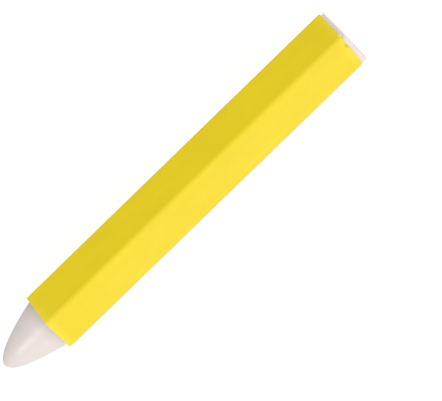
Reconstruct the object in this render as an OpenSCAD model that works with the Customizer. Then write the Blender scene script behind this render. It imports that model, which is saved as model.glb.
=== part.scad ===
// Tire marking crayon: a cast hexagonal stick of wax with a round pointed tip, in a glued paper sleeve.
// It lies on one flat of the sleeve. +X runs along the stick to the tip, +Z is up, and the origin is on
// the surface it lies on, under the middle of its length.

/* [Wax stick] */
// Length of the stick, from its flat back end to the point of its tip
stick_length = 100; // [60:1:160]
// Width of the stick across two opposite flats
stick_width = 13.2; // [9:0.1:20]
// Radius that rounds the stick's six long edges
stick_edge_radius = 0.75; // [0.3:0.05:1.5]
// Radius of the nose, where the tip comes to its point
nose_radius = 1.39; // [0.8:0.01:2.5]
// Depth of the bevel round the flat back end
back_bevel = 0.25; // [0.1:0.05:1]

/* [Paper sleeve] */
// Thickness of the paper
paper_thickness = 0.2; // [0.1:0.05:0.5]
// Film of glue between the wax and the paper
glue_gap = 0.05; // [0.03:0.01:0.2]
// Length of wax that stands out of the sleeve at the tip
tip_reveal = 13.5; // [5:0.1:30]
// Length of wax that stands out of the sleeve at the back end
back_reveal = 1.3; // [0.5:0.1:10]
// How much the tip end of the sleeve slants from one side to the other
mouth_skew = 0.8; // [0.1:0.1:2]
// How much the back end of the sleeve slants from one side to the other
tail_skew = 0.8; // [0.1:0.1:2]

/* [Lapped seam] */
// Width of the strip where the paper laps over itself and is glued down
lap_width = 4.4; // [2:0.1:4.5]
// Distance over which the paper climbs onto the layer below
lap_climb = 1; // [0.3:0.1:1.5]

/* [Hidden] */
$fn = 64;

flats = 6; // flats round the stick
flat_turn = 360 / flats; // the angle from one flat to the next
lap_flat = 1; // the flat that carries the seam, counted round from the one it lies on
mouth_turn = 160; // the side that reaches farthest toward the tip, as an angle round from that flat
tail_turn = 82; // the side that is shortest at the back end, as an angle in the same way
fold_steps = 6; // straight steps that a rounded edge is drawn in
tip_steps = 20; // straight steps that the curve of the tip is drawn in

bore_width = stick_width + 2 * glue_gap;
bore_edge_radius = stick_edge_radius + glue_gap;
sleeve_width = bore_width + 2 * paper_thickness;
sleeve_edge_radius = bore_edge_radius + paper_thickness;
sleeve_length = stick_length - tip_reveal - back_reveal;

// How far the sharp corner of a hexagon of this width lies from its middle
function corner_distance(width) = width / 2 / cos(flat_turn / 2);

// The angle of a cut that makes one side of the sleeve this much longer than the other
function skew_angle(skew) = atan(skew / sleeve_width);

// A point at this distance and angle from the middle
function polar(distance, angle) = distance * [cos(angle), sin(angle)];

// A hexagon whose corners are arcs, each from the direction that one flat faces to the next one's
module rounded_hexagon(width, edge_radius) {
    arc_distance = corner_distance(width - 2 * edge_radius);
    polygon([for (flat = [0 : flats - 1], step = [0 : fold_steps])
        polar(arc_distance, (flat + 1 / 2) * flat_turn)
            + polar(edge_radius, (flat + step / fold_steps) * flat_turn)]);
}

// Lays what is built upward from z = 0 along the stick, with a flat down
module along_stick() {
    translate([-stick_length / 2, 0, sleeve_width / 2]) rotate([0, 90, 0]) children();
}

// The turned form that the hexagon is cut to: a parabola from the nose to past the stick's corners
module tip_form() {
    reach = corner_distance(stick_width);
    curve = [for (step = [0 : tip_steps]) let (r = reach * step / tip_steps)
        [r, stick_length - r * r / (2 * nose_radius)]];
    rotate_extrude() polygon(concat([[0, 0]], curve, [[reach, 0]]));
}

// The wedges that bevel the six edges of the back end. Each is a block that lies past the bevel's slope
module back_bevels() {
    block = 4 * back_bevel;
    for (flat = [0 : flats - 1])
        rotate(flat * flat_turn) translate([(stick_width - back_bevel) / 2, 0, back_bevel / 2])
            rotate([0, 45, 0]) translate([block / 2, 0, 0])
                cube([block, stick_width, block], center = true);
}

// Everything past a cut at z = 0 that rises by the given angle toward the side at the given turn
module past_cut(angle, turn) {
    rotate(turn) rotate([0, -angle, 0]) translate([-sleeve_width, -sleeve_width, 0])
        cube([2 * sleeve_width, 2 * sleeve_width, sleeve_width]);
}

// The outer end of the paper: a sharp edge on one side, and on the other a ramp that climbs out of the
// layer below. Both start half the paper's thickness down in it, and the ramp leaves it at lap_width / 2.
module lap_strip() {
    root = -paper_thickness / 2;
    rotate(lap_flat * flat_turn) translate([sleeve_width / 2, 0]) polygon([
        [root, -lap_width / 2],
        [paper_thickness, -lap_width / 2],
        [paper_thickness, lap_width / 2 - lap_climb],
        [root, (lap_width + lap_climb) / 2],
    ]);
}

// The paper as it looks from its end
module sleeve_section() {
    difference() {
        union() {
            rounded_hexagon(sleeve_width, sleeve_edge_radius);
            lap_strip();
        }
        rounded_hexagon(bore_width, bore_edge_radius);
    }
}

module wax_stick() {
    color("mistyrose") along_stick() difference() {
        intersection() {
            linear_extrude(stick_length) rounded_hexagon(stick_width, stick_edge_radius);
            tip_form();
        }
        back_bevels();
    }
}

module paper_sleeve() {
    color("gold") along_stick() translate([0, 0, back_reveal]) difference() {
        translate([0, 0, -tail_skew]) linear_extrude(sleeve_length + tail_skew + mouth_skew)
            sleeve_section();
        translate([0, 0, sleeve_length]) past_cut(skew_angle(mouth_skew), mouth_turn);
        mirror([0, 0, 1]) past_cut(-skew_angle(tail_skew), tail_turn);
    }
}

wax_stick();
paper_sleeve();
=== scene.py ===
"""Builds the looks of a tire marking crayon around its packed construction model.

Lengths are in metres, in the model's own frame: the crayon lies along X on z = 0, with its tip at +X.
Round the crayon, an angle is measured from +Y toward +Z.
"""

import math

import bpy
import numpy as np
from bpy.props import FloatProperty, FloatVectorProperty, PointerProperty
from mathutils import Matrix, Vector, noise


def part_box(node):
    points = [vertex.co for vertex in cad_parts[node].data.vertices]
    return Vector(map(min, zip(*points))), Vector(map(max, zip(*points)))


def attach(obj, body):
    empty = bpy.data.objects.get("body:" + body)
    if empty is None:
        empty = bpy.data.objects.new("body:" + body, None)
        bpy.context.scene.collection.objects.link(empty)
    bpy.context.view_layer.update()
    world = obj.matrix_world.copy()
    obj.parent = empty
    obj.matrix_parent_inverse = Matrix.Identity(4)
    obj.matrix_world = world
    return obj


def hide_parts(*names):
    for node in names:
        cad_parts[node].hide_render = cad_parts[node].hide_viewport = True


bl_info = {
    "name": "Tire marking crayon",
    "version": (1, 0, 0),
    "blender": (4, 5, 0),
    "location": "3D View > Sidebar > Crayon",
    "description": "Builds a marking crayon from a wax stick and a paper sleeve, and a studio around it",
    "category": "Add Mesh",
}

MM = 0.001
SHARP_ANGLE = math.radians(50)  # a corner that turns by more than this is shaded sharp

# Places round the crayon
FLATS = 6
FLAT_TURN = math.tau / FLATS
TOP_FLAT = math.radians(90)
NEAR_FOLD = math.radians(120)  # the edge between the top flat and the upper near flat
WORN_SIDE = math.radians(205)  # the lower near side, where the back end is worn
SEAM_FLAT = math.radians(-30)  # the lower far flat, which carries the lapped seam
MOUTH_TURN = math.radians(70)  # the side on which the sleeve reaches farthest toward the tip
TAIL_TURN = math.radians(-8)  # the side on which the sleeve is cut shortest at the back end
TEAR_PLACE = -1.62 * MM  # the Y of the small tear at the back end of the top flat, and of the darker spot painted beside it as the tear's shade

# Directions that the lights come from. A turn is toward the tip
SKY_ANGLE = math.radians(78)
KEY_ANGLE = math.radians(61.5)
RIM_ANGLE = math.radians(-34)
GLINT_ANGLE = math.radians(116)
GLINT_TURN = math.radians(47)

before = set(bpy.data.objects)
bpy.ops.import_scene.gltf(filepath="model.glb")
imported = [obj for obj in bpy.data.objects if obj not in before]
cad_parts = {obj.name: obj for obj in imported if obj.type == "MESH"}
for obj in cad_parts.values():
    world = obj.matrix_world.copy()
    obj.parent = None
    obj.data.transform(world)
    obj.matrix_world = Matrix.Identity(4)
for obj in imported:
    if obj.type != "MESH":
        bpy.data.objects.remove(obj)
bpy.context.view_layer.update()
STICK_LOW, STICK_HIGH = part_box("wax_stick")
SLEEVE_LOW, SLEEVE_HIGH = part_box("paper_sleeve")
AXIS_HEIGHT = (STICK_LOW.z + STICK_HIGH.z) / 2


# ---------------------------------------------------------------- settings


class CRAYON_PG_wax(bpy.types.PropertyGroup):
    """Sizes and finish of the wax stick"""

    apothem: FloatProperty(
        name="Half width",
        description="Distance from the stick's middle to each flat",
        default=(STICK_HIGH.z - STICK_LOW.z) / 2,
        unit="LENGTH",
    )
    edge_radius: FloatProperty(
        name="Edge radius",
        description="Radius that rounds the stick's long edges",
        default=0.75 * MM,
        unit="LENGTH",
    )
    nose_radius: FloatProperty(
        name="Nose radius",
        description="Radius of the nose, where the tip comes to its point",
        default=1.39 * MM,
        unit="LENGTH",
    )
    back_rounding: FloatProperty(
        name="Back rounding",
        description="Radius that rounds the edge of the flat back end",
        default=0.3 * MM,
        unit="LENGTH",
    )
    back_dish: FloatProperty(
        name="Back dish",
        description="How far the middle of the back end has shrunk in as it cooled",
        default=0.12 * MM,
        unit="LENGTH",
    )
    unevenness: FloatProperty(
        name="Unevenness",
        description="Depth of the slow waves that casting leaves in the surface",
        default=0.03 * MM,
        unit="LENGTH",
    )
    colour: FloatVectorProperty(
        name="Colour",
        description="Colour of the wax",
        default=(0.814, 0.731, 0.694),
        subtype="COLOR",
        size=3,
        min=0,
        max=1,
    )
    # Partly bloom and partly painted light: this paler colour goes fully on the shaded near side of the
    # back end and less on the lit top
    bloom_and_painted_light_colour: FloatVectorProperty(
        name="Bloom colour",
        description="Colour of the paler wax on the near side of the back end",
        default=(0.855, 0.742, 0.705),
        subtype="COLOR",
        size=3,
        min=0,
        max=1,
    )
    # Partly soil and partly painted shade: the wax is darkened in front of the sleeve's mouth on the near
    # side, where the mouth shades it
    soil_and_painted_shade_colour: FloatVectorProperty(
        name="Soiled colour",
        description="Colour of the wax where the mouth of the sleeve has rubbed it",
        default=(0.73, 0.66, 0.61),
        subtype="COLOR",
        size=3,
        min=0,
        max=1,
    )
    crumb_colour: FloatVectorProperty(
        name="Crumb colour",
        description="Colour of the crumbs of wax that stick to the frayed end of the paper's fold",
        default=(0.99, 0.92, 0.84),
        subtype="COLOR",
        size=3,
        min=0,
        max=1,
    )
    cloud_colour: FloatVectorProperty(
        name="Cloud colour",
        description="Colour of the wax where its filler lies thicker",
        default=(0.775, 0.706, 0.68),
        subtype="COLOR",
        size=3,
        min=0,
        max=1,
    )
    roughness: FloatProperty(
        name="Roughness",
        description="Roughness of the wax",
        default=0.28,
        subtype="FACTOR",
        min=0,
        max=1,
    )
    translucency: FloatProperty(
        name="Translucency",
        description="Share of the light that enters the wax and scatters in it",
        default=0.3,
        subtype="FACTOR",
        min=0,
        max=1,
    )


class CRAYON_PG_paper(bpy.types.PropertyGroup):
    """Sizes and finish of the paper sleeve"""

    thickness: FloatProperty(
        name="Thickness",
        description="Thickness of the paper",
        default=0.2 * MM,
        unit="LENGTH",
    )
    fold_radius: FloatProperty(
        name="Fold radius",
        description="Outer radius of the paper's folds",
        default=1 * MM,
        unit="LENGTH",
    )
    lap_width: FloatProperty(
        name="Lap width",
        description="Width of the strip where the paper lies over itself",
        default=4.4 * MM,
        unit="LENGTH",
    )
    lap_climb: FloatProperty(
        name="Lap climb",
        description="Distance over which the paper climbs onto the layer below",
        default=1 * MM,
        unit="LENGTH",
    )
    mouth_skew: FloatProperty(
        name="Mouth skew",
        description="How much the tip end of the sleeve slants from one side to the other",
        default=0.8 * MM,
        unit="LENGTH",
    )
    tail_skew: FloatProperty(
        name="Tail skew",
        description="How much the back end of the sleeve slants from one side to the other",
        default=0.8 * MM,
        unit="LENGTH",
    )
    waviness: FloatProperty(
        name="Waviness",
        description="Depth of the slow waves in the glued paper",
        default=0.025 * MM,
        unit="LENGTH",
    )
    raggedness: FloatProperty(
        name="Raggedness",
        description="How far the cut ends of the paper stray from straight",
        default=0.04 * MM,
        unit="LENGTH",
    )
    mouth_wear: FloatProperty(
        name="Mouth wear",
        description="Width of the rubbed, paler band along the end of the paper at the tip",
        default=2.9 * MM,
        unit="LENGTH",
    )
    tail_wear: FloatProperty(
        name="Tail wear",
        description="Width of the rubbed, paler band along the back end of the paper",
        default=2.2 * MM,
        unit="LENGTH",
    )
    print_colour: FloatVectorProperty(
        name="Print colour",
        description="Colour printed on the outside of the paper",
        default=(0.89, 0.68, 0.0005),
        subtype="COLOR",
        size=3,
        min=0,
        max=1,
    )
    fold_wear: FloatProperty(
        name="Fold wear",
        description="How far the print is rubbed off along the folds",
        default=0.32,
        subtype="FACTOR",
        min=0,
        max=1,
    )
    worn_colour: FloatVectorProperty(
        name="Worn colour",
        description="Colour of the print where it has been rubbed",
        default=(0.91, 0.74, 0.03),
        subtype="COLOR",
        size=3,
        min=0,
        max=1,
    )
    fray_colour: FloatVectorProperty(
        name="Fray colour",
        description="Colour of the paper where its print has flaked off at the frayed end of a fold",
        default=(0.99, 0.92, 0.6),
        subtype="COLOR",
        size=3,
        min=0,
        max=1,
    )
    bare_colour: FloatVectorProperty(
        name="Bare colour",
        description="Colour of the paper's inside and cut edges",
        default=(0.84, 0.82, 0.76),
        subtype="COLOR",
        size=3,
        min=0,
        max=1,
    )
    roughness: FloatProperty(
        name="Roughness",
        description="Roughness of the printed side",
        default=0.33,
        subtype="FACTOR",
        min=0,
        max=1,
    )


class CRAYON_PG_studio(bpy.types.PropertyGroup):
    """The camera, the lights and the floor"""

    elevation: FloatProperty(
        name="Elevation",
        description="Angle of the view above the floor, seen along the crayon",
        default=math.radians(61.56),
        subtype="ANGLE",
    )
    lean: FloatProperty(
        name="Lean",
        description="How far the view is turned so that the tip lies farther away than the back end",
        default=math.radians(2.53),
        subtype="ANGLE",
    )
    roll: FloatProperty(
        name="Roll",
        description="Turn of the view that brings the tip to the lower left",
        default=math.radians(135.905),
        subtype="ANGLE",
    )
    distance: FloatProperty(
        name="Distance",
        description="Distance from the camera to the crayon",
        default=0.6,
        unit="LENGTH",
    )
    field_width: FloatProperty(
        name="Field width",
        description="Width that the camera takes in at the crayon",
        default=93.17 * MM,
        unit="LENGTH",
    )
    aim_right: FloatProperty(
        name="Aim right",
        description="How far right of the crayon's middle the camera is aimed",
        default=9.845 * MM,
        unit="LENGTH",
    )
    aim_up: FloatProperty(
        name="Aim up",
        description="How far above the crayon's middle the camera is aimed, in its own view",
        default=0.115 * MM,
        unit="LENGTH",
    )
    sky: FloatProperty(
        name="Sky",
        description="Brightness of the soft light from the bright side, high on the far side",
        default=1.1,
        min=0,
    )
    ground: FloatProperty(
        name="Ground",
        description="Brightness of the soft light from the side opposite to that",
        default=0.51,
        min=0,
    )
    key: FloatProperty(
        name="Key",
        description="Brightness of the large soft light high on the far side",
        default=2.0,
        min=0,
    )
    glint: FloatProperty(
        name="Glint",
        description="Brightness of the narrow soft light beyond the tip",
        default=14.5,
        min=0,
    )
    rim: FloatProperty(
        name="Rim",
        description="Brightness of the soft light that comes up through the floor beyond the crayon",
        default=0.3,
        min=0,
    )
    floor_colour: FloatVectorProperty(
        name="Floor colour",
        description="Colour of the floor",
        default=(0.12, 0.12, 0.12),
        subtype="COLOR",
        size=3,
        min=0,
        max=1,
    )
    floor_glow: FloatProperty(
        name="Floor glow",
        description="Light that comes up through the floor, as from a light table",
        default=0.93,
        min=0,
    )


class CRAYON_PG_settings(bpy.types.PropertyGroup):
    """All settings of the crayon"""

    wax: PointerProperty(type=CRAYON_PG_wax)
    paper: PointerProperty(type=CRAYON_PG_paper)
    studio: PointerProperty(type=CRAYON_PG_studio)


# ---------------------------------------------------------------- shapes


def smoothstep(value):
    """Rises from 0 to 1 as the value does, level at both ends."""
    value = np.clip(value, 0, 1)
    return value * value * (3 - 2 * value)


def soft_minimum(first, second, blend):
    """The lower of two values, rounded over where they are about as low as each other."""
    share = np.clip(0.5 + 0.5 * (second - first) / blend, 0, 1)
    return second + (first - second) * share - blend * share * (1 - share)


def crowded_ends(count):
    """Values from -1 to 1 that lie closer together toward both ends."""
    return np.sin(np.linspace(-1, 1, count + 1) * math.pi / 2)


def polar(distance, angle):
    """The Y and Z of a point at this distance and angle from the crayon's axis."""
    return np.array([distance * np.cos(angle), distance * np.sin(angle)])


def arc_distance(apothem, edge_radius):
    """Distance from the middle of a rounded hexagon to the centre of each corner's arc."""
    return (apothem - edge_radius) / math.cos(FLAT_TURN / 2)


def half_flat(apothem, edge_radius):
    """Half the width of a rounded hexagon's flat, between its rounded corners."""
    return (apothem - edge_radius) * math.tan(FLAT_TURN / 2)


def hexagon_reach(angles, apothem, edge_radius):
    """How far a rounded hexagon reaches from its middle at each angle. One of its flats faces up."""
    off_flat = np.abs(angles % FLAT_TURN - FLAT_TURN / 2)
    off_corner = FLAT_TURN / 2 - off_flat
    centre = arc_distance(apothem, edge_radius)
    across = edge_radius**2 - (centre * np.sin(off_corner)) ** 2
    on_flat = np.tan(off_flat) * apothem <= half_flat(apothem, edge_radius)
    round_reach = centre * np.cos(off_corner) + np.sqrt(np.maximum(across, 0))
    return np.where(on_flat, apothem / np.cos(off_flat), round_reach)


def hexagon_angles(apothem, edge_radius, flat_steps, fold_steps):
    """Angles once round a rounded hexagon, crowded where its surface turns."""
    angles = []
    for flat in range(FLATS):
        normal = (flat + 0.5) * FLAT_TURN
        sideways = crowded_ends(flat_steps) * half_flat(apothem, edge_radius)
        angles.extend(normal + np.arctan2(sideways, apothem))
        corner = polar(arc_distance(apothem, edge_radius), normal + FLAT_TURN / 2)
        for turn in np.linspace(0, FLAT_TURN, fold_steps + 1)[1:-1]:
            y, z = corner + polar(edge_radius, normal + turn)
            angles.append(math.atan2(z, y) % math.tau)
    return np.unwrap(np.array(angles))


def add_mesh(name, vertices, faces, materials, face_materials=None):
    """Makes a mesh object from lists of points and faces, smooth except at sharp corners."""
    mesh = bpy.data.meshes.new(name)
    mesh.from_pydata([tuple(v) for v in vertices], [], faces)
    for material in materials:
        mesh.materials.append(material)
    if face_materials is not None:
        mesh.polygons.foreach_set("material_index", face_materials)
    mesh.validate()
    mesh.update()
    mesh.shade_smooth()
    mesh.set_sharp_from_angle(angle=SHARP_ANGLE)
    piece = bpy.data.objects.new(name, mesh)
    bpy.context.scene.collection.objects.link(piece)
    return piece


# ---------------------------------------------------------------- wax stick


def back_rings(wax, angles):
    """The back end: rings from near its middle outward, then round its edge."""
    dish_shares, rounding_steps = (0.04, 0.2, 0.4, 0.6, 0.8, 0.93), 6
    rings = []
    rim = hexagon_reach(angles, wax.apothem - wax.back_rounding, wax.edge_radius)
    for share in dish_shares:
        rings.append((STICK_LOW.x + wax.back_dish * (1 - share**2), rim * share))
    for turn in np.linspace(0, math.pi / 2, rounding_steps + 1):
        inset = wax.back_rounding * (1 - math.sin(turn))
        x = STICK_LOW.x + wax.back_rounding * (1 - math.cos(turn))
        rings.append((x, hexagon_reach(angles, wax.apothem - inset, wax.edge_radius)))
    return rings


def body_and_tip_rings(wax, angles):
    """The hexagonal body, and the round tip that it runs into."""
    bare_rings, bare_step, covered_rings, blend = 15, 0.15 * MM, 24, 0.3 * MM
    body = hexagon_reach(angles, wax.apothem, wax.edge_radius)
    widest = wax.apothem / math.cos(FLAT_TURN / 2)
    tip_start = STICK_HIGH.x - widest**2 / (2 * wax.nose_radius)
    start = STICK_LOW.x + wax.back_rounding
    bare = np.arange(1, bare_rings + 1) * bare_step
    covered = np.linspace(bare[-1] + 1 * MM, tip_start - start, covered_rings)
    tip_radii = np.arange(widest, 0.5 * MM, -0.09 * MM)
    nose_radii = np.arange(0.5, 0.04, -0.07) * MM
    stations = [start + step for step in (*bare, *covered)]
    for radius in (*tip_radii[1:], *nose_radii):
        stations.append(STICK_HIGH.x - radius**2 / (2 * wax.nose_radius))
    rings = []
    for x in stations:
        tip = math.sqrt(2 * wax.nose_radius * (STICK_HIGH.x - x))
        rings.append((x, soft_minimum(body, np.full_like(body, tip), blend)))
    return rings


def chip_depth(point, wax):
    """Depth of the small chip in the stick's upper near edge, just inside the back end."""
    from_end, radius, depth = 0.75 * MM, 0.75 * MM, 0.3 * MM
    y, z = polar(arc_distance(wax.apothem, wax.edge_radius) + wax.edge_radius, NEAR_FOLD)
    centre = Vector((STICK_LOW.x + from_end, y, AXIS_HEIGHT + z))
    return depth * float(smoothstep(1 - (point - centre).length / radius))


def worn_side_depth(point, outward):
    """Depth to which the lower near side of the stick is worn off at the back end."""
    length, depth = 1.8 * MM, 0.32 * MM
    end = smoothstep(1 - (point.x - STICK_LOW.x) / length)
    toward = Vector((0, *polar(1, WORN_SIDE)))
    return depth * float(end) * max(0, outward.dot(toward)) ** 2


def wax_relief(point, outward, wax):
    """How far the surface lies below its true form: casting waves, finer dimples and wear."""
    wave_size, dimple_size, elsewhere = 9 * MM, 1.8 * MM, Vector((7, 3, 1))
    waves = noise.noise(point / wave_size) + 1
    dimples = noise.noise(point / dimple_size + elsewhere) + 1
    worn = chip_depth(point, wax) + worn_side_depth(point, outward)
    return wax.unevenness * (waves / 2 + dimples / 6) + worn


def stick_points(wax, rings, angles):
    """The points of the stick: the middle of its back end, then its rings, and last its nose."""
    points = [(STICK_LOW.x + wax.back_dish, 0, AXIS_HEIGHT)]
    for x, reach in rings:
        ys, zs = polar(reach, angles)
        points += [(x, y, AXIS_HEIGHT + z) for y, z in zip(ys, zs)]
    points.append((STICK_HIGH.x, 0, AXIS_HEIGHT))
    return points


def stick_faces(rings, count):
    """The faces between this many rings of points, with a fan that closes each end."""
    last, nose = 1 + (rings - 1) * count, 1 + rings * count
    faces = []
    for i in range(count):
        j = (i + 1) % count
        faces.append((0, 1 + j, 1 + i))
        faces.append((nose, last + i, last + j))
        for start in range(1, last, count):
            faces.append((start + i, start + j, start + count + j, start + count + i))
    return faces


class CRAYON_OT_make_wax(bpy.types.Operator):
    """Builds the wax stick, with its round tip and its flat back end"""

    bl_idname = "crayon.make_wax"
    bl_label = "Make wax stick"

    def execute(self, context):
        wax = context.scene.crayon.wax
        angles = hexagon_angles(wax.apothem, wax.edge_radius, flat_steps=24, fold_steps=8)
        rings = back_rings(wax, angles) + body_and_tip_rings(wax, angles)
        vertices = stick_points(wax, rings, angles)
        faces = stick_faces(len(rings), len(angles))
        stick = add_mesh("marking_wax", vertices, faces, [wax_material(wax)])
        outward = [normal.vector.copy() for normal in stick.data.vertex_normals]
        for vertex, normal in zip(stick.data.vertices, outward):
            vertex.co -= normal * wax_relief(vertex.co, normal, wax)
        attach(stick, "root")
        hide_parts("wax_stick")
        return {"FINISHED"}


# ---------------------------------------------------------------- paper sleeve


def wrap_path(paper):
    """The paper's way round the stick, from its covered edge on the seam flat to its open edge on top.

    Each point is (Y and Z on the wax side, the angle it faces, its lift, the way so far)."""
    covered_steps, fold_steps, flat_steps, seam_steps = 18, 8, 22, 36
    slack = 1.05
    apothem = (SLEEVE_HIGH.z - SLEEVE_LOW.z) / 2 - paper.thickness
    inner_radius = paper.fold_radius - paper.thickness
    half = half_flat(apothem, inner_radius)
    covered_edge = paper.lap_climb - paper.lap_width / 2
    points = []

    def across(way, normal, start, end, steps, on_top=False):
        """Adds points across a flat. Takes and returns the way so far, as the next function does."""
        sideways = (start + end) / 2 + crowded_ends(steps) * (end - start) / 2
        for side in sideways:
            lift = 0.0
            if on_top:
                rise = smoothstep((side + paper.lap_width / 2) / paper.lap_climb)
                lift = rise * paper.thickness * slack
            base = polar(apothem, normal) + polar(side, normal - math.pi / 2)
            points.append((base, normal, lift, way + side - start))
        return way + end - start

    def around(way, normal):
        """Adds points round the fold that comes after the flat that faces this angle."""
        corner = polar(arc_distance(apothem, inner_radius), normal - FLAT_TURN / 2)
        for turn in np.linspace(0, FLAT_TURN, fold_steps + 1)[1:-1]:
            points.append((corner + polar(inner_radius, normal - turn), normal - turn, 0.0, way))
        return way + paper.fold_radius * FLAT_TURN

    way = across(0.0, SEAM_FLAT, covered_edge, half, covered_steps)
    for flat in range(1, FLATS):
        way = around(way, SEAM_FLAT - (flat - 1) * FLAT_TURN)
        way = across(way, SEAM_FLAT - flat * FLAT_TURN, -half, half, flat_steps)
    way = around(way, SEAM_FLAT - (FLATS - 1) * FLAT_TURN)
    across(way, SEAM_FLAT - FLATS * FLAT_TURN, -half, paper.lap_width / 2, seam_steps, on_top=True)
    return points


def hexagon_support(direction, apothem, edge_radius):
    """How far a rounded hexagon with a flat on top reaches toward a direction, square to it."""
    off_corner = abs((direction + FLAT_TURN / 2) % FLAT_TURN - FLAT_TURN / 2)
    return arc_distance(apothem, edge_radius) * math.cos(off_corner) + edge_radius


def end_plane(paper, mouth):
    """The plane that the paper is cut to at one end: its X on the axis, and its slope along Y and Z."""
    width = SLEEVE_HIGH.z - SLEEVE_LOW.z
    turn, skew = (MOUTH_TURN, paper.mouth_skew) if mouth else (TAIL_TURN, paper.tail_skew)
    reach = hexagon_support(turn, width / 2, paper.fold_radius) * skew / width
    return SLEEVE_HIGH.x - reach if mouth else SLEEVE_LOW.x + reach, polar(skew / width, turn)


def edge_line(paper, base, way, mouth):
    """Where the paper ends along the crayon at this point of its way: slanted, and a little ragged."""
    middle, slope = end_plane(paper, mouth)
    seed = 11 if mouth else 5
    coarse_size, fine_size = 2.5 * MM, 0.5 * MM
    coarse = noise.noise(Vector((way / coarse_size, seed, 0)))
    fine = noise.noise(Vector((way / fine_size, seed, 4)))
    return middle + float(np.dot(base, slope)) + paper.raggedness * (coarse + 0.5 * fine)


def edge_tear(base, normal):
    """How far a small tear runs in from the back end of the top flat."""
    width, depth = 0.3 * MM, 0.15 * MM
    if abs(math.remainder(normal - TOP_FLAT, math.tau)) > math.radians(1):
        return 0.0
    place = (base[0] - TEAR_PLACE) / width
    return depth * math.exp(-place * place)


def paper_relief(paper, point, to_end):
    """How far the paper lies inside its true place: slow waves, and a slight inward pull at the mouth."""
    wave_length, wave_width, pull_length, pull_depth = 16 * MM, 5 * MM, 3 * MM, 0.02 * MM
    wave = noise.noise(Vector((point.x / wave_length, point.y / wave_width, point.z / wave_width))) + 1
    pull = smoothstep(1 - to_end / pull_length) * pull_depth
    return paper.waviness * wave / 2 + float(pull)


def sheet_shares():
    """Where the sheet's rows lie, as shares of its length, closer together toward both ends."""
    middle_rows = 54
    near_end = np.array([0, 0.08, 0.2, 0.35, 0.55, 0.8, 1.1, 1.5, 2.0, 2.6, 3.4, 4.4]) * MM
    length = SLEEVE_HIGH.x - SLEEVE_LOW.x
    middle = np.linspace(near_end[-1], length - near_end[-1], middle_rows + 2)[1:-1]
    return np.concatenate([near_end, middle, (length - near_end)[::-1]]) / length


def sheet_points(paper, path, shares):
    """The points of the sheet: its wax side first, then its outside, each in columns along the crayon."""
    points = []
    for height in (0.0, paper.thickness):
        for base, normal, lift, way in path:
            tail = edge_line(paper, base, way, mouth=False) + edge_tear(base, normal)
            mouth = edge_line(paper, base, way, mouth=True)
            for share in shares:
                x = tail + (mouth - tail) * share
                foot = Vector((x, base[0], AXIS_HEIGHT + base[1]))
                off = lift + height - paper_relief(paper, foot, mouth - x)
                points.append(foot + Vector((0, *polar(off, normal))))
    return points


def sheet_faces(columns, rows):
    """The faces of the sheet, and the material of each: 0 for its outside, 1 for its inside and edges."""
    faces, face_materials = [], []

    def add_face(corners, material):
        """Adds a face. Each of its corners is given as a layer, a column and a row."""
        faces.append(tuple((layer * columns + column) * rows + row for layer, column, row in corners))
        face_materials.append(material)

    for c in range(columns - 1):
        for r in range(rows - 1):
            add_face([(1, c, r + 1), (1, c + 1, r + 1), (1, c + 1, r), (1, c, r)], 0)
            add_face([(0, c, r), (0, c + 1, r), (0, c + 1, r + 1), (0, c, r + 1)], 1)
        for r in (0, rows - 1):
            rim = [(0, c, r), (0, c + 1, r), (1, c + 1, r), (1, c, r)]
            add_face(rim[::-1] if r == 0 else rim, 1)
    for r in range(rows - 1):
        for c in (0, columns - 1):
            side = [(0, c, r + 1), (0, c, r), (1, c, r), (1, c, r + 1)]
            add_face(side[::-1] if c == 0 else side, 1)
    return faces, face_materials


class CRAYON_OT_make_paper(bpy.types.Operator):
    """Builds the paper sleeve as one folded sheet that laps over itself in a glued seam"""

    bl_idname = "crayon.make_paper"
    bl_label = "Make paper sleeve"

    def execute(self, context):
        paper = context.scene.crayon.paper
        path, shares = wrap_path(paper), sheet_shares()
        vertices = sheet_points(paper, path, shares)
        faces, face_materials = sheet_faces(len(path), len(shares))
        materials = [print_material(paper), bare_paper_material(paper)]
        sleeve = add_mesh("sleeve_paper", vertices, faces, materials, face_materials)
        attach(sleeve, "root")
        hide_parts("paper_sleeve")
        return {"FINISHED"}


# ---------------------------------------------------------------- materials


def start_material(name):
    """A new node material: its tree, its surface shader, and the object coordinates."""
    material = bpy.data.materials.new(name)
    material.use_nodes = True
    tree = material.node_tree
    shader = tree.nodes["Principled BSDF"]
    place = tree.nodes.new("ShaderNodeTexCoord").outputs["Object"]
    return material, tree, shader, place


def stretched(tree, place, scale, shift=(0, 0, 0)):
    """The coordinates stretched by a scale for each axis, and then shifted."""
    mapping = tree.nodes.new("ShaderNodeMapping")
    mapping.inputs["Scale"].default_value = scale
    mapping.inputs["Location"].default_value = shift
    tree.links.new(place, mapping.inputs["Vector"])
    return mapping.outputs["Vector"]


def grain(tree, place, size, detail=2.0):
    """Noise whose features are about this size."""
    node = tree.nodes.new("ShaderNodeTexNoise")
    node.inputs["Scale"].default_value = 1 / size
    node.inputs["Detail"].default_value = detail
    tree.links.new(place, node.inputs["Vector"])
    return node.outputs["Fac"]


def spread(tree, value, low, high, to_low=0, to_high=1, smooth=False):
    """Maps a value from one range to another, and keeps it inside."""
    node = tree.nodes.new("ShaderNodeMapRange")
    node.interpolation_type = "SMOOTHSTEP" if smooth else "LINEAR"
    for name, number in (("From Min", low), ("From Max", high), ("To Min", to_low), ("To Max", to_high)):
        node.inputs[name].default_value = number
    tree.links.new(value, node.inputs["Value"])
    return node.outputs["Result"]


def vector_value(tree, operation, place, other=(0, 0, 0)):
    """The number that a vector operation gives for the coordinates and a fixed vector."""
    node = tree.nodes.new("ShaderNodeVectorMath")
    node.operation = operation
    node.inputs[1].default_value = other
    tree.links.new(place, node.inputs[0])
    return node.outputs["Value"]


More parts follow.
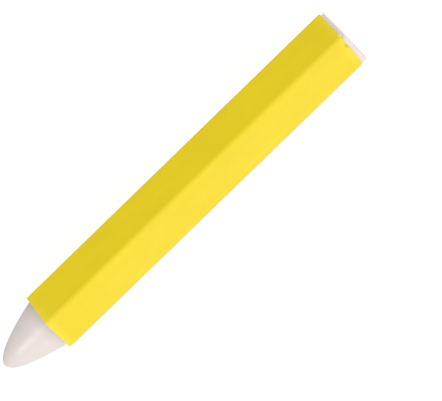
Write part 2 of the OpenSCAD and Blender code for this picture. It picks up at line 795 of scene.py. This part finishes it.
def along(tree, place, direction):
    """How far the coordinates reach in a direction."""
    return vector_value(tree, "DOT_PRODUCT", place, direction)


def near_point(tree, place, point, full, none):
    """A share that is 1 close to a point and falls to 0, between these two distances from it."""
    return spread(tree, vector_value(tree, "DISTANCE", place, point), full, none, 1, 0)


def times(tree, first, second):
    """The product of two values."""
    node = tree.nodes.new("ShaderNodeMath")
    node.operation = "MULTIPLY"
    tree.links.new(first, node.inputs[0])
    tree.links.new(second, node.inputs[1])
    return node.outputs["Value"]


def mixed(tree, share, first, second):
    """A colour between two others. Each is a colour, or a socket that gives one."""
    node = tree.nodes.new("ShaderNodeMix")
    node.data_type = "RGBA"
    tree.links.new(share, node.inputs["Factor"])
    for socket, colour in ((node.inputs[6], first), (node.inputs[7], second)):
        if isinstance(colour, bpy.types.NodeSocket):
            tree.links.new(colour, socket)
        else:
            socket.default_value = (*colour, 1)
    return node.outputs[2]


def raise_bumps(tree, shader, layers):
    """Stacks bumps on the shader. Each layer is a height value and its depth."""
    below = None
    for height, depth in layers:
        bump = tree.nodes.new("ShaderNodeBump")
        bump.inputs["Strength"].default_value = 1
        bump.inputs["Distance"].default_value = depth
        tree.links.new(height, bump.inputs["Height"])
        if below is not None:
            tree.links.new(below, bump.inputs["Normal"])
        below = bump.outputs["Normal"]
    tree.links.new(below, shader.inputs["Normal"])


def deepened(colour, share):
    """A colour with each of its channels brought down to this share."""
    return [channel * share for channel in colour]


def fray_place():
    """The frayed spot at the back end of the upper near fold, a little below the fold's middle."""
    y, z = polar(7.6 * MM, NEAR_FOLD + math.radians(4))
    return Vector((SLEEVE_LOW.x, y, AXIS_HEIGHT + z))


def mouth_soil_and_painted_shade(tree, place):
    """The share of darker wax in a band in front of the sleeve's mouth, on the near side: partly soil,
    and partly painted shade of the mouth on the wax.
    """
    from_mouth, length, fade = 0.6 * MM, 2 * MM, 2.5 * MM
    start = SLEEVE_HIGH.x + from_mouth
    ahead = spread(tree, along(tree, place, (1, 0, 0)), start, start + length, 1, 0)
    near_side = spread(tree, along(tree, place, (0, 1, 0)), 0, fade, 1, 0)
    return times(tree, ahead, near_side)


def back_bloom_and_painted_light(tree, place):
    """The share of paler wax at the back end: all of the near side, and less of the rest of it. Partly
    bloom, and partly painted light that lightens the shaded near side more than the lit top.
    """
    start, end = STICK_LOW.x + 2 * MM, STICK_LOW.x + 4 * MM
    near_side, rest = -6 * MM, -2 * MM
    back_end = spread(tree, along(tree, place, (1, 0, 0)), start, end, 1, 0)
    most = spread(tree, along(tree, place, (0, 1, 0)), near_side, rest, 1, 0.6, smooth=True)
    return times(tree, back_end, most)


def wax_material(wax):
    """Cast wax: waxy satin, faintly cloudy, with a fine skin"""
    material, tree, shader, place = start_material("cast_wax")
    cloud = grain(tree, place, 5 * MM, detail=3)
    tint = mixed(tree, spread(tree, cloud, 0.35, 0.65), wax.colour, wax.cloud_colour)
    for share, colour in (
        # a band of soil and painted shade in front of the sleeve's mouth
        (mouth_soil_and_painted_shade(tree, place), wax.soil_and_painted_shade_colour),
        # a paler back end: bloom, and painted light on the shaded near side
        (back_bloom_and_painted_light(tree, place), wax.bloom_and_painted_light_colour),
        (near_point(tree, place, fray_place(), 0.35 * MM, 0.5 * MM), wax.crumb_colour),
    ):
        tint = mixed(tree, share, tint, colour)
    tree.links.new(tint, shader.inputs["Base Color"])
    shader.inputs["Subsurface Weight"].default_value = wax.translucency
    shader.inputs["Subsurface Radius"].default_value = (1, 0.7, 0.55)
    shader.inputs["Subsurface Scale"].default_value = 1.2 * MM
    shader.inputs["IOR"].default_value = 1.44
    rough = spread(tree, grain(tree, place, 2.5 * MM), 0.3, 0.7, wax.roughness, wax.roughness + 0.05)
    tree.links.new(rough, shader.inputs["Roughness"])
    ripples, skin = grain(tree, place, 1.2 * MM), grain(tree, place, 0.25 * MM, detail=4)
    raise_bumps(tree, shader, [(ripples, 0.02 * MM), (skin, 0.008 * MM)])
    return material


def end_rub(tree, place, paper, mouth):
    """The share of the print that is rubbed off along one end. At the mouth, the near edge kept more."""
    middle, (slope_y, slope_z) = end_plane(paper, mouth)
    edge = middle - AXIS_HEIGHT * slope_z
    reach = along(tree, place, (1, -slope_y, -slope_z))
    if not mouth:
        return spread(tree, reach, edge, edge + paper.tail_wear, 0.5, 0, smooth=True)
    near_edge, rest = -7.2 * MM, -4.7 * MM
    band = spread(tree, reach, edge, edge - paper.mouth_wear, 1, 0, smooth=True)
    most = spread(tree, along(tree, place, (0, 1, 0)), near_edge, rest, 0.2, 0.8, smooth=True)
    return times(tree, band, most)


def fold_rub(tree, place, paper):
    """The share of the print that is rubbed off: none on the flats, and uneven along the folds."""
    below_crest, patch_size, least = 0.25 * MM, 3 * MM, 0.6
    apothem = (SLEEVE_HIGH.z - SLEEVE_LOW.z) / 2
    crest = arc_distance(apothem, paper.fold_radius) + paper.fold_radius
    from_axis = stretched(tree, place, (0, 1, 1), shift=(0, 0, -AXIS_HEIGHT))
    radius = vector_value(tree, "LENGTH", from_axis)
    fold = spread(tree, radius, crest - below_crest, crest, 0, paper.fold_wear, smooth=True)
    patches = grain(tree, stretched(tree, place, (0.3, 1, 1)), patch_size)
    return times(tree, fold, spread(tree, patches, 0.3, 0.7, least, 1))


def print_material(paper):
    """Label paper printed in one solid colour, with a satin varnish over its fibres"""
    material, tree, shader, place = start_material("yellow_print")
    cloud = grain(tree, stretched(tree, place, (0.4, 1, 1)), 4 * MM, detail=4)
    clouded = deepened(paper.print_colour, 0.96)
    tint = mixed(tree, spread(tree, cloud, 0.35, 0.65), paper.print_colour, clouded)
    # a darker spot of print beside the small tear: painted shade of the tear
    painted_tear_shade = Vector((SLEEVE_LOW.x + 0.35 * MM, TEAR_PLACE, SLEEVE_HIGH.z))
    for share, colour in (
        (end_rub(tree, place, paper, mouth=True), paper.worn_colour),
        (end_rub(tree, place, paper, mouth=False), paper.worn_colour),
        (fold_rub(tree, place, paper), paper.worn_colour),
        (near_point(tree, place, painted_tear_shade, 0.2 * MM, 0.75 * MM), deepened(paper.print_colour, 0.72)),
        (near_point(tree, place, fray_place(), 0.2 * MM, 0.45 * MM), paper.fray_colour),
    ):
        tint = mixed(tree, share, tint, colour)
    tree.links.new(tint, shader.inputs["Base Color"])
    shader.inputs["Specular IOR Level"].default_value = 0.35
    rough = spread(tree, cloud, 0.3, 0.7, paper.roughness - 0.03, paper.roughness + 0.05)
    tree.links.new(rough, shader.inputs["Roughness"])
    fibres = grain(tree, stretched(tree, place, (0.35, 1, 1)), 0.22 * MM, detail=3)
    raise_bumps(tree, shader, [(grain(tree, place, 2.2 * MM), 0.012 * MM), (fibres, 0.005 * MM)])
    return material


def bare_paper_material(paper):
    """The unprinted side and the cut edges: matte, with visible fibres"""
    material, tree, shader, place = start_material("bare_paper")
    fibres = grain(tree, stretched(tree, place, (0.3, 1, 1)), 0.3 * MM, detail=5)
    between = deepened(paper.bare_colour, 0.86)
    tint = mixed(tree, spread(tree, fibres, 0.3, 0.7), paper.bare_colour, between)
    tree.links.new(tint, shader.inputs["Base Color"])
    shader.inputs["Roughness"].default_value = 0.85
    shader.inputs["Specular IOR Level"].default_value = 0.2
    raise_bumps(tree, shader, [(fibres, 0.02 * MM)])
    return material


# ---------------------------------------------------------------- studio


def add_soft_light(name, brightness, angle, turn, distance, length, width):
    """A rectangular soft light that faces the crayon's middle, from this angle and turned to the tip."""
    light = bpy.data.lights.new(name, "AREA")
    light.shape = "RECTANGLE"
    light.size = length
    light.size_y = width
    light.energy = brightness * math.pi * length * width  # so the brightness doesn't depend on the size
    lamp = bpy.data.objects.new(name, light)
    away = Vector((math.sin(turn), *polar(math.cos(turn), angle)))
    onward = Vector((math.cos(turn), *polar(-math.sin(turn), angle)))
    place = Matrix.Translation(Vector((0, 0, AXIS_HEIGHT)) + away * distance)
    lamp.matrix_world = place @ Matrix((onward, away.cross(onward), away)).transposed().to_4x4()
    lamp.visible_camera = False
    bpy.context.scene.collection.objects.link(lamp)
    return lamp


def add_floor(studio):
    """A large pale floor under the crayon, which curves up into a round wall far away from it"""
    flat_radius, bend, wall_height = 3.0, 1.0, 3.0
    steps, bend_steps = 64, 12
    profile = [(flat_radius, 0.0)]
    for turn in np.linspace(0, math.pi / 2, bend_steps + 1)[1:]:
        profile.append((flat_radius + bend * math.sin(turn), bend * (1 - math.cos(turn))))
    profile.append((flat_radius + bend, bend + wall_height))
    corners, faces = [(0, 0, 0)], []
    for radius, height in profile:
        for turn in np.arange(steps) * math.tau / steps:
            corners.append((radius * math.cos(turn), radius * math.sin(turn), height))
    for i in range(steps):
        j = (i + 1) % steps
        faces.append((0, 1 + i, 1 + j))
        for ring in range(len(profile) - 1):
            low, high = 1 + ring * steps, 1 + (ring + 1) * steps
            faces.append((low + i, high + i, high + j, low + j))
    material, tree, shader, place = start_material("pale_floor")
    shade = deepened(studio.floor_colour, 0.985)
    tint = mixed(tree, grain(tree, place, 0.3, detail=1), studio.floor_colour, shade)
    tree.links.new(tint, shader.inputs["Base Color"])
    shader.inputs["Roughness"].default_value = 0.9
    shader.inputs["Specular IOR Level"].default_value = 0.1
    shader.inputs["Emission Color"].default_value = (1, 1, 1, 1)
    shader.inputs["Emission Strength"].default_value = studio.floor_glow
    floor = add_mesh("floor", corners, faces, [material])
    floor.visible_diffuse = False
    floor.visible_glossy = False
    floor.visible_shadow = False


def add_sky(studio):
    """Soft light from all round, strongest from high on the far side and weakest from opposite to that"""
    world = bpy.data.worlds.new("soft_sky")
    world.use_nodes = True
    tree = world.node_tree
    direction = tree.nodes.new("ShaderNodeTexCoord").outputs["Generated"]
    toward = along(tree, direction, (0, math.cos(SKY_ANGLE), math.sin(SKY_ANGLE)))
    glow = spread(tree, toward, -1, 1, studio.ground, studio.sky)
    tree.links.new(glow, tree.nodes["Background"].inputs["Color"])
    bpy.context.scene.world = world


def add_camera(studio):
    """A camera that looks down at the crayon, rolled so that the tip is at the lower left"""
    toward_tip = math.sin(studio.lean)
    ahead = Vector(
        (
            toward_tip,
            math.cos(studio.lean) * math.cos(studio.elevation),
            -math.cos(studio.lean) * math.sin(studio.elevation),
        )
    )
    lengthwise = (Vector((1, 0, 0)) - ahead * toward_tip).normalized()
    across = lengthwise.cross(ahead)
    right = lengthwise * math.cos(studio.roll) + across * math.sin(studio.roll)
    up = right.cross(ahead)
    middle = Vector((0, 0, AXIS_HEIGHT))
    aim = middle + right * studio.aim_right + up * studio.aim_up
    camera = bpy.data.objects.new("camera", bpy.data.cameras.new("camera"))
    camera.data.lens = camera.data.sensor_width * studio.distance / studio.field_width
    camera.data.clip_start = 0.01
    rotation = Matrix((right, up, -ahead)).transposed()
    camera.matrix_world = Matrix.Translation(aim - ahead * studio.distance) @ rotation.to_4x4()
    bpy.context.scene.collection.objects.link(camera)
    bpy.context.scene.camera = camera


class CRAYON_OT_make_studio(bpy.types.Operator):
    """Sets up the pale floor, the soft lights and the camera"""

    bl_idname = "crayon.make_studio"
    bl_label = "Make studio"

    def execute(self, context):
        studio = context.scene.crayon.studio
        add_floor(studio)
        add_sky(studio)
        add_soft_light("key", studio.key, KEY_ANGLE, 0, distance=0.9, length=0.36, width=0.36)
        add_soft_light("rim", studio.rim, RIM_ANGLE, 0, distance=0.3, length=0.26, width=0.26)
        glint = add_soft_light(
            "glint", studio.glint, GLINT_ANGLE, GLINT_TURN, distance=0.5, length=0.05, width=0.22
        )
        glint.visible_diffuse = False
        add_camera(studio)
        context.scene.view_settings.view_transform = "Standard"
        return {"FINISHED"}


# ---------------------------------------------------------------- add-on


class CRAYON_PT_panel(bpy.types.Panel):
    """Lists the crayon's settings and the buttons that build it"""

    bl_label = "Marking crayon"
    bl_idname = "CRAYON_PT_panel"
    bl_space_type = "VIEW_3D"
    bl_region_type = "UI"
    bl_category = "Crayon"

    def draw(self, context):
        settings = context.scene.crayon
        for group, operator in (
            (settings.wax, CRAYON_OT_make_wax),
            (settings.paper, CRAYON_OT_make_paper),
            (settings.studio, CRAYON_OT_make_studio),
        ):
            box = self.layout.box()
            box.operator(operator.bl_idname)
            for name in type(group).__annotations__:
                box.prop(group, name)


CLASSES = (
    CRAYON_PG_wax,
    CRAYON_PG_paper,
    CRAYON_PG_studio,
    CRAYON_PG_settings,
    CRAYON_OT_make_wax,
    CRAYON_OT_make_paper,
    CRAYON_OT_make_studio,
    CRAYON_PT_panel,
)


def register():
    for cls in CLASSES:
        bpy.utils.register_class(cls)
    bpy.types.Scene.crayon = PointerProperty(type=CRAYON_PG_settings)


def unregister():
    del bpy.types.Scene.crayon
    for cls in reversed(CLASSES):
        bpy.utils.unregister_class(cls)


def main():
    """Builds the studio and the crayon."""
    register()
    bpy.ops.crayon.make_studio()
    bpy.ops.crayon.make_wax()
    bpy.ops.crayon.make_paper()


if __name__ == "__main__":
    main()
